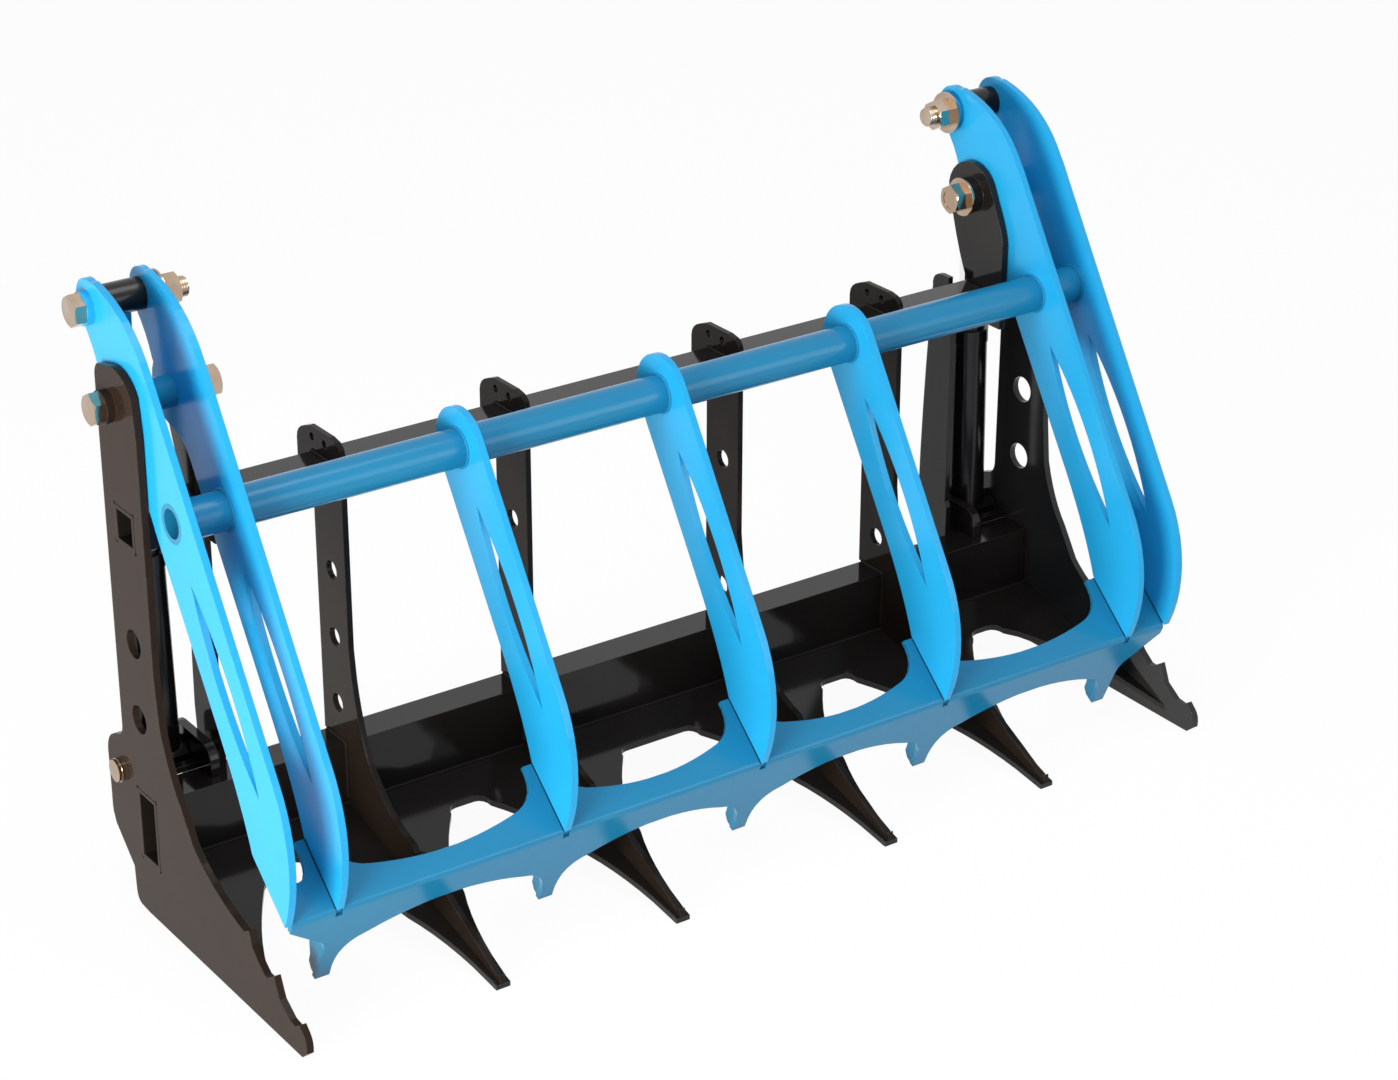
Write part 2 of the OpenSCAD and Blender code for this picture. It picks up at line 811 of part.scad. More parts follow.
// Cylinders

// Places its children on the cylinder axis, z measured from the base pin
module on_cyl(s) {
    translate([s * cyl_x, base_y - mid_y, base_z])
        rotate([-cyl_a, 0, 0])
            children();
}

module barrel(s) {
    color("#222121")
        difference() {
            on_cyl(s)
                difference() {
                    translate([0, 0, barrel_foot])
                        cylinder(d = barrel_d, h = barrel_l - gland_h - barrel_foot);
                    translate([0, 0, base_tube_d / 2 + 14])
                        cylinder(d = barrel_bore, h = barrel_l);
                }
            bar(base_y, base_z, base_tube_d / 2, -rake_w, rake_w);
        }
}
module barrel_left() { barrel(-1); }
module barrel_right() { barrel(1); }

module base_tube(s) {
    x0 = bracket_x + bracket_t / 2 + base_gap_in;
    x1 = end_in - base_gap_out;
    color("#222121")
        difference() {
            bar(base_y, base_z, base_tube_d / 2 - 0.1, s * x0, s * x1);
            bar(base_y, base_z, base_pin_d / 2 + fit, s * (x0 - 1), s * (x1 + 1));
        }
}
module base_tube_left() { base_tube(-1); }
module base_tube_right() { base_tube(1); }

module gland(s) {
    color("#222121")
        on_cyl(s)
            translate([0, 0, barrel_l - gland_h])
                difference() {
                    union() {
                        cylinder(r = gland_r, h = gland_h - 8);
                        cylinder(r = gland_r - 6, h = gland_h);
                    }
                    translate([0, 0, -1])
                        cylinder(r = rod_d / 2 + rod_gap, h = gland_h + 2);
                }
}
module gland_left() { gland(-1); }
module gland_right() { gland(1); }

// Hose ports near both ends of the barrel, on its rear side
module ports(s) {
    color("#b9b7b0")
        on_cyl(s)
            for (z = [74, barrel_l - gland_h - 30])
                difference() {
                    translate([0, barrel_d / 2 - 6, z])
                        rotate([-90, 0, 0])
                            union() {
                                cylinder(d = 24, h = 12);
                                cylinder(d = 17, h = 19);
                            }
                    cylinder(d = barrel_d + 0.2, h = barrel_l);
                }
}
module ports_left() { ports(-1); }
module ports_right() { ports(1); }

module rod(s) {
    color("#d5d5d2")
        difference() {
            on_cyl(s)
                translate([0, 0, piston_top])
                    cylinder(d = rod_d, h = cyl_l - piston_top);
            bar(eye_y, eye_z, eye_d / 2, -rake_w, rake_w);
        }
}
module rod_left() { rod(-1); }
module rod_right() { rod(1); }

module rod_eye(s) {
    x0 = arm_b_x + arm_t / 2 + side_gap;
    x1 = arm_a_x - arm_t / 2 - side_gap;
    color("#222121")
        difference() {
            bar(eye_y, eye_z, eye_d / 2 - 0.1, s * x0, s * x1);
            bar(eye_y, eye_z, bolt_r + eye_slack, s * (x0 - 1), s * (x1 + 1));
        }
}
module rod_eye_left() { rod_eye(-1); }
module rod_eye_right() { rod_eye(1); }

module piston(s) {
    color("#8c8a86")
        on_cyl(s)
            translate([0, 0, piston_top - piston_h])
                cylinder(r = barrel_bore / 2 - rod_gap, h = piston_h);
}
module piston_left() { piston(-1); }
module piston_right() { piston(1); }

end_plate_left();
end_plate_right();
rib_1();
rib_2();
rib_3();
rib_4();
floor_plate();
upper_tube();
lower_box();
ear_left();
ear_right();
bay_plate_left();
bay_plate_right();
bracket_left();
bracket_right();
strap_left();
strap_right();
coupler_lip();
lock_plate();
pivot_bolt_left();
pivot_bolt_right();
pivot_nut_left();
pivot_nut_right();
base_pin_left();
base_pin_right();
arm_a();
arm_b();
arm_e1();
arm_e2();
arm_e3();
arm_c();
arm_d();
jaw_tube();
toothed_bar();
gussets();
sleeve_left();
sleeve_right();
lever_bolt_left();
lever_bolt_right();
lever_nut_left();
lever_nut_right();
washer_left();
washer_right();
barrel_left();
barrel_right();
base_tube_left();
base_tube_right();
gland_left();
gland_right();
ports_left();
ports_right();
rod_left();
rod_right();
rod_eye_left();
rod_eye_right();
piston_left();
piston_right();
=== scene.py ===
import json
import math
import bpy
import bmesh
from mathutils import Matrix, Vector
from mathutils.bvhtree import BVHTree


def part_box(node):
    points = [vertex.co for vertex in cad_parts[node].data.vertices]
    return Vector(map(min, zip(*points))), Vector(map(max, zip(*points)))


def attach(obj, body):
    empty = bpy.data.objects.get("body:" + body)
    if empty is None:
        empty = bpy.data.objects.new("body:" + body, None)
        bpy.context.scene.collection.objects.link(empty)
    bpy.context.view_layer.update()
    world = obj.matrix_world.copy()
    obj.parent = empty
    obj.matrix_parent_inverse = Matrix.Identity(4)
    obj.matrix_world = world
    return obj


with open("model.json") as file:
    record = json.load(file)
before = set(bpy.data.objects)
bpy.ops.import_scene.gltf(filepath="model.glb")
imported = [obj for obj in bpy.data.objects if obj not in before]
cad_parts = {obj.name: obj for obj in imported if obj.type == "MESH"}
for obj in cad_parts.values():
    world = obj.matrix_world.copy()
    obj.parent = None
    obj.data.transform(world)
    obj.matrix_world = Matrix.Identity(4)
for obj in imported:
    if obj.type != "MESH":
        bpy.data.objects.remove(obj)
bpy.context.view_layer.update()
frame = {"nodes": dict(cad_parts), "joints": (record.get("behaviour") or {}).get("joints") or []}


# Black painted rake frame: end plates, ribs, floor plate, tubes and brackets are laser-cut and
# sawn mild steel, welded together and sprayed with one coat of gloss black enamel. It keeps a
# little orange peel. Along the cut edges the colour goes paler, partly as thin paint and partly as a
# painted edge highlight.
def group_sockets(name, inputs, outputs):
    tree = bpy.data.node_groups.new(name, "ShaderNodeTree")
    for label, kind, value in inputs:
        socket = tree.interface.new_socket(label, in_out="INPUT", socket_type=kind)
        socket.default_value = value
    for label, kind in outputs:
        tree.interface.new_socket(label, in_out="OUTPUT", socket_type=kind)
    return tree, tree.nodes.new("NodeGroupInput"), tree.nodes.new("NodeGroupOutput")


def ranged(tree, source, low, high, to_low=0.0, to_high=1.0):
    node = tree.nodes.new("ShaderNodeMapRange")
    node.inputs["From Min"].default_value = low
    node.inputs["From Max"].default_value = high
    node.inputs["To Min"].default_value = to_low
    node.inputs["To Max"].default_value = to_high
    tree.links.new(source, node.inputs["Value"])
    return node.outputs["Result"]


def maths(tree, operation, a, b=None):
    node = tree.nodes.new("ShaderNodeMath")
    node.operation = operation
    for value, socket in zip((a, b), node.inputs):
        if isinstance(value, (int, float)):
            socket.default_value = value
        elif value is not None:
            tree.links.new(value, socket)
    return node.outputs["Value"]


def mixed(tree, factor, a, b):
    node = tree.nodes.new("ShaderNodeMix")
    node.data_type = "RGBA"
    tree.links.new(factor, node.inputs["Factor"])
    tree.links.new(a, node.inputs["A"])
    tree.links.new(b, node.inputs["B"])
    return node.outputs["Result"]


def noise(tree, scale, detail):
    place = tree.nodes.new("ShaderNodeTexCoord")
    node = tree.nodes.new("ShaderNodeTexNoise")
    node.inputs["Scale"].default_value = scale
    node.inputs["Detail"].default_value = detail
    tree.links.new(place.outputs["Object"], node.inputs["Vector"])
    return node.outputs["Fac"]


def enamel_group():
    tree, given, made = group_sockets(
        "sprayed enamel",
        [("Paint", "NodeSocketColor", (0.1, 0.1, 0.1, 1)),
         ("Tint", "NodeSocketColor", (0.1, 0.1, 0.1, 1)),
         ("Thin paint and edge shading", "NodeSocketColor", (0.3, 0.3, 0.3, 1)),
         ("Flatness", "NodeSocketFloat", 1.0),
         ("Gloss low", "NodeSocketFloat", 0.3),
         ("Gloss high", "NodeSocketFloat", 0.45)],
        [("Color", "NodeSocketColor"), ("Roughness", "NodeSocketFloat"),
         ("Height", "NodeSocketFloat")])
    cloud = noise(tree, 5.0, 5.0)
    speck = noise(tree, 70.0, 6.0)
    peel = noise(tree, 380.0, 2.0)
    # Along edges, found from the rounded normal, the colour goes to the edge colour: partly thin
    # paint, partly painted edge highlight and edge shade.
    on_edge = ranged(tree, given.outputs["Flatness"], 0.995, 0.90)
    edge_wear_and_shading = maths(tree, "MULTIPLY", on_edge, ranged(tree, speck, 0.40, 0.62, 0.25, 1.0))
    paint = mixed(tree, cloud, given.outputs["Paint"], given.outputs["Tint"])
    colour = mixed(tree, edge_wear_and_shading, paint, given.outputs["Thin paint and edge shading"])
    gloss = ranged(tree, cloud, 0.3, 0.7)
    tree.links.new(given.outputs["Gloss low"], gloss.node.inputs["To Min"])
    tree.links.new(given.outputs["Gloss high"], gloss.node.inputs["To Max"])
    tree.links.new(colour, made.inputs["Color"])
    tree.links.new(gloss, made.inputs["Roughness"])
    tree.links.new(peel, made.inputs["Height"])
    return tree


enamel = enamel_group()


def enamel_material(name, paint, tint, thin_paint_and_edge_shading, gloss, shine, coat):
    material = bpy.data.materials.new(name)
    material.use_nodes = True
    tree = material.node_tree
    link = tree.links.new
    shader = tree.nodes["Principled BSDF"]
    rounded = tree.nodes.new("ShaderNodeBevel")
    rounded.samples = 4
    rounded.inputs["Radius"].default_value = 0.0016
    faces = tree.nodes.new("ShaderNodeNewGeometry")
    flatness = tree.nodes.new("ShaderNodeVectorMath")
    flatness.operation = "DOT_PRODUCT"
    link(rounded.outputs["Normal"], flatness.inputs[0])
    link(faces.outputs["Normal"], flatness.inputs[1])
    coating = tree.nodes.new("ShaderNodeGroup")
    coating.node_tree = enamel
    coating.inputs["Paint"].default_value = (*paint, 1)
    coating.inputs["Tint"].default_value = (*tint, 1)
    coating.inputs["Thin paint and edge shading"].default_value = (*thin_paint_and_edge_shading, 1)
    coating.inputs["Gloss low"].default_value = gloss[0]
    coating.inputs["Gloss high"].default_value = gloss[1]
    link(flatness.outputs["Value"], coating.inputs["Flatness"])
    bump = tree.nodes.new("ShaderNodeBump")
    bump.inputs["Strength"].default_value = 0.05
    bump.inputs["Distance"].default_value = 0.0004
    link(rounded.outputs["Normal"], bump.inputs["Normal"])
    link(coating.outputs["Height"], bump.inputs["Height"])
    link(coating.outputs["Color"], shader.inputs["Base Color"])
    link(coating.outputs["Roughness"], shader.inputs["Roughness"])
    link(bump.outputs["Normal"], shader.inputs["Normal"])
    shader.inputs["Specular IOR Level"].default_value = shine
    shader.inputs["Coat Weight"].default_value = coat
    shader.inputs["Coat Roughness"].default_value = 0.08
    return material


def paint_nodes(names, material):
    for name in names:
        mesh = frame["nodes"][name].data
        mesh.materials.clear()
        mesh.materials.append(material)


frame_black = enamel_material(
    "gloss black enamel", (0.0090, 0.0080, 0.0074), (0.0125, 0.0108, 0.0098),
    (0.038, 0.035, 0.032), gloss=(0.07, 0.13), shine=0.26, coat=0.0)
# The left end plate and its tube end welds: the frame's black, browned as a painted warm reflection.
black_with_painted_warm_reflection = enamel_material(
    "black enamel with painted warm reflection", (0.0178, 0.0122, 0.0094), (0.0222, 0.0147, 0.0112),
    (0.055, 0.046, 0.040), gloss=(0.08, 0.14), shine=0.062, coat=0.0)
# The ribs and the left bay plate: the frame's black, browned as a painted warm reflection.
rib_black_with_painted_reflection = enamel_material(
    "black enamel on the ribs with painted warm reflection", (0.0122, 0.0091, 0.0073), (0.0154, 0.0111, 0.0088),
    (0.048, 0.040, 0.035), gloss=(0.08, 0.14), shine=0.085, coat=0.0)
# The right end plate and its tube end welds: the frame's black, lightened and cooled as painted light.
black_with_painted_cool_light = enamel_material(
    "black enamel with painted cool light", (0.0150, 0.0158, 0.0160), (0.0185, 0.0192, 0.0195),
    (0.045, 0.045, 0.045), gloss=(0.07, 0.13), shine=0.26, coat=0.0)
ribs = ["rib_1", "rib_2", "rib_3", "rib_4"]
paint_nodes(["end_plate_left"], black_with_painted_warm_reflection)
paint_nodes([*ribs, "bay_plate_left"], rib_black_with_painted_reflection)
paint_nodes(["end_plate_right"], black_with_painted_cool_light)
paint_nodes([
    "floor_plate", "upper_tube", "lower_box", "ear_left", "ear_right",
    "bay_plate_right", "bracket_left", "bracket_right",
    "strap_left", "strap_right", "coupler_lip", "lock_plate",
], frame_black)


# Welds of the frame: fillet beads laid by hand where the ribs and end plates meet the two
# tubes, and where the floor plate meets the box tube, painted over with the frame.
def bead_tree():
    tree = bpy.data.node_groups.new("laid weld bead", "GeometryNodeTree")
    for label, kind in (("Seams", "NodeSocketGeometry"), ("Bead radius", "NodeSocketFloat"),
                        ("Ripple pitch", "NodeSocketFloat"), ("Ripple depth", "NodeSocketFloat"),
                        ("Paint", "NodeSocketMaterial")):
        tree.interface.new_socket(label, in_out="INPUT", socket_type=kind)
    tree.interface.new_socket("Beads", in_out="OUTPUT", socket_type="NodeSocketGeometry")
    given, made = tree.nodes.new("NodeGroupInput"), tree.nodes.new("NodeGroupOutput")
    link = tree.links.new
    points_per_ripple = 5.0
    path = tree.nodes.new("GeometryNodeMeshToCurve")
    steps = tree.nodes.new("GeometryNodeResampleCurve")
    steps.mode = "LENGTH"
    along = tree.nodes.new("GeometryNodeSplineParameter")
    round_face = tree.nodes.new("GeometryNodeCurvePrimitiveCircle")
    round_face.inputs["Resolution"].default_value = 8
    sweep = tree.nodes.new("GeometryNodeCurveToMesh")
    sweep.inputs["Fill Caps"].default_value = True
    smooth = tree.nodes.new("GeometryNodeSetShadeSmooth")
    real = tree.nodes.new("GeometryNodeRealizeInstances")
    paint = tree.nodes.new("GeometryNodeSetMaterial")
    turns = maths(tree, "DIVIDE", along.outputs["Length"], given.outputs["Ripple pitch"])
    wave = maths(tree, "SINE", maths(tree, "MULTIPLY", turns, 2 * math.pi))
    depth = maths(tree, "MULTIPLY", wave, given.outputs["Ripple depth"])
    step = maths(tree, "DIVIDE", given.outputs["Ripple pitch"], points_per_ripple)
    link(given.outputs["Seams"], path.inputs["Mesh"])
    link(path.outputs["Curve"], steps.inputs["Curve"])
    link(step, steps.inputs["Length"])
    link(given.outputs["Bead radius"], round_face.inputs["Radius"])
    link(steps.outputs["Curve"], sweep.inputs["Curve"])
    link(round_face.outputs["Curve"], sweep.inputs["Profile Curve"])
    link(maths(tree, "ADD", depth, 1.0), sweep.inputs["Scale"])
    link(sweep.outputs["Mesh"], smooth.inputs["Geometry"])
    link(smooth.outputs["Geometry"], real.inputs["Geometry"])
    link(real.outputs["Geometry"], paint.inputs["Geometry"])
    link(given.outputs["Paint"], paint.inputs["Material"])
    link(paint.outputs["Geometry"], made.inputs["Beads"])
    return tree


def grown(name, tree, mesh, values, body):
    piece = bpy.data.objects.new(name, mesh)
    bpy.context.scene.collection.objects.link(piece)
    modifier = piece.modifiers.new("grown", "NODES")
    modifier.node_group = tree
    for socket in tree.interface.items_tree:
        if socket.in_out == "INPUT" and socket.name in values:
            modifier[socket.identifier] = values[socket.name]
    evaluated = piece.evaluated_get(bpy.context.evaluated_depsgraph_get())
    result = bpy.data.meshes.new_from_object(evaluated)
    piece.modifiers.clear()
    piece.data = result
    surface = bmesh.new()
    surface.from_mesh(result)
    bmesh.ops.recalc_face_normals(surface, faces=surface.faces)
    surface.to_mesh(result)
    surface.free()
    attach(piece, body)


def seam_mesh(name, seams):
    points, edges = [], []
    for seam, closed in seams:
        first = len(points)
        points += seam
        edges += [(first + i, first + i + 1) for i in range(len(seam) - 1)]
        if closed:
            edges.append((first + len(seam) - 1, first))
    mesh = bpy.data.meshes.new(name)
    mesh.from_pydata(points, edges, [])
    return mesh


weld_bead = bead_tree()
weld_black = enamel_material(
    "enamel on the frame welds", (0.0090, 0.0080, 0.0074), (0.0125, 0.0108, 0.0098),
    (0.0110, 0.0095, 0.0088), gloss=(0.45, 0.60), shine=0.1, coat=0.0)
hand_laid = {"Ripple pitch": 0.006, "Ripple depth": 0.09}
seam_gap = 0.001            # from the steel to the middle of a bead
box_bead_foot = 0.128       # where the beads of the ribs start on the front of the box tube
box_bead_short = 0.002      # how far they stop short of its rear face
floor_bead_height = 0.1185  # of the bead between the floor plate and the box tube


def round_tube(x, low, high):
    return [(x, low.y - seam_gap, low.z - seam_gap), (x, low.y - seam_gap, high.z + seam_gap),
            (x, high.y + seam_gap, high.z + seam_gap), (x, high.y + seam_gap, low.z - seam_gap)]


upper_low, upper_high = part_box("upper_tube")
box_low, box_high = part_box("lower_box")
upper_front, upper_foot = upper_low.y - seam_gap, upper_low.z - seam_gap
upper_top, box_front, box_top = upper_high.z + seam_gap, box_low.y - seam_gap, box_high.z + seam_gap
frame_seams = []
for name in ribs:
    low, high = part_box(name)
    for x in (low.x - seam_gap, high.x + seam_gap):
        frame_seams.append(([(x, upper_high.y, upper_foot), (x, upper_front, upper_foot),
                             (x, upper_front, upper_top), (x, upper_high.y, upper_top)], False))
        frame_seams.append(([(x, box_front, box_bead_foot), (x, box_front, box_top),
                             (x, box_high.y - box_bead_short, box_top)], False))
inner_left, inner_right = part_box("end_plate_left")[1].x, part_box("end_plate_right")[0].x
for x in (inner_left + seam_gap, inner_right - seam_gap):
    frame_seams += [(round_tube(x, upper_low, upper_high), True),
                    (round_tube(x, box_low, box_high), True)]
frame_seams.append(([(inner_left, box_front, floor_bead_height),
                     (inner_right, box_front, floor_bead_height)], False))
grown("frame_welds", weld_bead, seam_mesh("frame_welds", frame_seams),
      {"Bead radius": 0.0030, "Paint": weld_black, **hand_laid}, "frame")


# Tube ends: both tubes run through the end plates, are welded all round on the outside and
# ground flush, so each end shows as a ring of plate, painted with it.
def solid_piece(name, surface, material, body):
    bmesh.ops.recalc_face_normals(surface, faces=surface.faces)
    mesh = bpy.data.meshes.new(name)
    surface.to_mesh(mesh)
    surface.free()
    mesh.materials.append(material)
    piece = bpy.data.objects.new(name, mesh)
    bpy.context.scene.collection.objects.link(piece)
    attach(piece, body)


def flush_weld(name, side, material, body, proud=0.0004):
    surface = bmesh.new()
    for node in ("upper_tube", "lower_box"):
        low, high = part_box(node)
        end_x = low.x if side < 0 else high.x
        end = bmesh.new()
        end.from_mesh(frame["nodes"][node].data)
        bmesh.ops.remove_doubles(end, verts=end.verts, dist=1e-6)
        others = [face for face in end.faces if abs(face.calc_center_median().x - end_x) > 1e-5]
        bmesh.ops.delete(end, geom=others, context="FACES")
        raised = bmesh.ops.extrude_face_region(end, geom=end.faces[:])["geom"]
        bmesh.ops.translate(end, vec=(side * proud, 0, 0),
                            verts=[part for part in raised if isinstance(part, bmesh.types.BMVert)])
        end_mesh = bpy.data.meshes.new(name)
        end.to_mesh(end_mesh)
        end.free()
        surface.from_mesh(end_mesh)
        bpy.data.meshes.remove(end_mesh)
    solid_piece(name, surface, material, body)


flush_weld("tube_end_welds_left", -1, black_with_painted_warm_reflection, "frame")
flush_weld("tube_end_welds_right", 1, black_with_painted_cool_light, "frame")


# Blue painted jaw: seven arms, the long tube, the folded toothed bar with its gussets and the
# two pivot sleeves, all mild steel, welded and sprayed with a bright sky blue gloss enamel.
jaw_blue = enamel_material(
    "sky blue gloss enamel", (0.012, 0.300, 0.620), (0.016, 0.335, 0.670),
    (0.012, 0.270, 0.560), gloss=(0.16, 0.26), shine=0.22, coat=0.05)
# The tube, toothed bar, gussets and sleeves take the same sky blue paint, darkened as painted shade.
sky_blue_with_painted_shade = enamel_material(
    "sky blue enamel with painted shade", (0.008, 0.165, 0.330), (0.011, 0.190, 0.365),
    (0.010, 0.190, 0.390), gloss=(0.16, 0.26), shine=0.25, coat=0.04)
arms = ["arm_a", "arm_b", "arm_e1", "arm_e2", "arm_e3", "arm_c", "arm_d"]
paint_nodes(arms, jaw_blue)
paint_nodes(["sleeve_left", "sleeve_right", "jaw_tube", "toothed_bar", "gussets"], sky_blue_with_painted_shade)


# Welds of the jaw: a thin bead laid by hand round the long tube on each side of every arm,
# painted over with the jaw.
weld_blue = enamel_material(
    "enamel on the jaw welds", (0.009, 0.190, 0.400), (0.012, 0.215, 0.440),
    (0.010, 0.200, 0.420), gloss=(0.40, 0.55), shine=0.12, coat=0.0)
tube_low, tube_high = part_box("jaw_tube")
tube_mid, tube_r = (tube_low + tube_high) / 2, (tube_high.z - tube_low.z) / 2
bar_low, bar_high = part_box("toothed_bar")
plate_sides = []
for name in arms:
    at_foot = [v.co.x for v in frame["nodes"][name].data.vertices if v.co.z < bar_high.z]
    plate_sides.append((min(at_foot), max(at_foot)))
round_jaw_tube = [(tube_mid.y + (tube_r + seam_gap) * math.cos(math.radians(a)),
                   tube_mid.z + (tube_r + seam_gap) * math.sin(math.radians(a)))
                  for a in range(0, 360, 6)]
jaw_seams = []
for left, right in plate_sides:
    for x in (left - seam_gap, right + seam_gap):
        if abs(x) < tube_high.x:
            jaw_seams.append(([(x, y, z) for y, z in round_jaw_tube], True))
grown("jaw_welds", weld_bead, seam_mesh("jaw_welds", jaw_seams),
      {"Bead radius": 0.0022, "Paint": weld_blue, **hand_laid}, "jaw")


# Slots of the folded bar: the foot of each arm drops into a slot cut through the bar, a little
# wider than the plate. The shade in that clearance is painted as a dark line laid on the bar along the
# arm's left side.
# A near-black blue line laid where the clearance is in shade: painted shade.
slot_painted_shade = enamel_material(
    "painted shade in the slots", (0.002, 0.016, 0.032), (0.003, 0.020, 0.040),
    (0.003, 0.020, 0.040), gloss=(0.5, 0.6), shine=0.05, coat=0.0)
slot_side = 0.0007    # from the arm's plate to the middle of the line
slot_steps = 60
ray_start = 0.05      # above the bar
least_upward = 0.5    # of a face's normal, for the line to lie on it
bar = bmesh.new()
bar.from_mesh(frame["nodes"]["toothed_bar"].data)
bar_surface = BVHTree.FromBMesh(bar)
slot_shade_lines = []
for left, _ in plate_sides[1:]:
    line = []
    for i in range(slot_steps + 1):
        y = bar_low.y + (bar_high.y - bar_low.y) * i / slot_steps
        above = Vector((left - slot_side, y, bar_high.z + ray_start))
        hit, facing = bar_surface.ray_cast(above, Vector((0, 0, -1)))[:2]
        if hit and facing.z > least_upward:
            line.append(tuple(hit))
    slot_shade_lines.append((line, False))
bar.free()
grown("slot_shade_lines", weld_bead, seam_mesh("slot_shade_lines", slot_shade_lines),
      {"Bead radius": 0.0011, "Ripple pitch": 0.01, "Ripple depth": 0.0, "Paint": slot_painted_shade}, "jaw")


# Pivot bolts, lever bolts, nuts, washers, base pins and hose ports: turned and forged steel
# with a bright yellow zinc plate. Its brown patches are partly the yellow passivation and partly a
# painted brown reflection.
def bare_metal(name, colour, patch, rough, grain, scale):
    material = bpy.data.materials.new(name)
    material.use_nodes = True
    tree = material.node_tree
    shader = tree.nodes["Principled BSDF"]
    fine = noise(tree, scale, 4.0)
    broad = noise(tree, 14.0, 2.0)
    tone = tree.nodes.new("ShaderNodeMix")
    tone.data_type = "RGBA"
    tone.inputs["A"].default_value = (*colour, 1)
    tone.inputs["B"].default_value = (*patch, 1)
    tree.links.new(ranged(tree, broad, 0.30, 0.60), tone.inputs["Factor"])
    bump = tree.nodes.new("ShaderNodeBump")
    bump.inputs["Strength"].default_value = grain
    bump.inputs["Distance"].default_value = 0.0003
    tree.links.new(fine, bump.inputs["Height"])
    tree.links.new(ranged(tree, fine, 0.3, 0.7, rough[0], rough[1]), shader.inputs["Roughness"])
    tree.links.new(tone.outputs["Result"], shader.inputs["Base Color"])
    tree.links.new(bump.outputs["Normal"], shader.inputs["Normal"])
    shader.inputs["Metallic"].default_value = 1.0
    return material


# The brown patch colour is partly the yellow passivation and partly a painted brown reflection.
zinc = bare_metal("yellow zinc plate with painted brown reflection", (0.52, 0.43, 0.34), (0.43, 0.31, 0.22),
                  rough=(0.08, 0.15), grain=0.04, scale=130.0)
for side in ("left", "right"):
    paint_nodes([f"{part}_{side}" for part in (
        "pivot_bolt", "pivot_nut", "lever_bolt", "lever_nut", "washer", "base_pin", "ports")], zinc)


# Washers under the pivot nuts and snap rings on the base pins: plain stamped rings, zinc
# plated. The washers cap the black bosses on the ears; the snap rings sit in the pin grooves.
def ring(name, places, profile, material, body, steps=72):
    surface = bmesh.new()
    for centre, axis in places:
        turned = Vector(axis).to_track_quat("Z", "Y").to_matrix()
        loops = []
        for along, r in profile:
            loops.append([surface.verts.new(Vector(centre) + turned @ Vector(
                (r * math.cos(2 * math.pi * i / steps), r * math.sin(2 * math.pi * i / steps), along)))
                for i in range(steps)])
        for a, b in zip(loops, loops[1:] + loops[:1]):
            for i in range(steps):
                surface.faces.new((a[i], a[(i + 1) % steps], b[(i + 1) % steps], b[i]))
    solid_piece(name, surface, material, body)


# The profiles of the rings go round the section: (along the axis, radius).
washer_section = [(-0.0050, 0.0162), (-0.0050, 0.0338), (-0.0042, 0.0346),
                  (-0.0004, 0.0346), (0.0004, 0.0338), (0.0004, 0.0162)]
nut_low, nut_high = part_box("pivot_nut_left")
pivot_y, pivot_z = (nut_low.y + nut_high.y) / 2, (nut_low.z + nut_high.z) / 2
ring("pivot_washers", [((nut_low.x, pivot_y, pivot_z), (1, 0, 0)),
                       ((-nut_low.x, pivot_y, pivot_z), (-1, 0, 0))],
     washer_section, zinc, "frame")
snap_ring_section = [(-0.0008, 0.0179), (-0.0008, 0.0203), (-0.0005, 0.0206),
                     (0.0005, 0.0206), (0.0008, 0.0203), (0.0008, 0.0179)]
groove_in = 0.006  # from the end of the pin to the middle of its groove
pin_low, pin_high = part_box("base_pin_left")
pin_y, pin_z = (pin_low.y + pin_high.y) / 2, (pin_low.z + pin_high.z) / 2
ring("snap_rings", [((pin_low.x + groove_in, pin_y, pin_z), (1, 0, 0)),
                    ((-pin_low.x - groove_in, pin_y, pin_z), (1, 0, 0))],
     snap_ring_section, zinc, "frame")


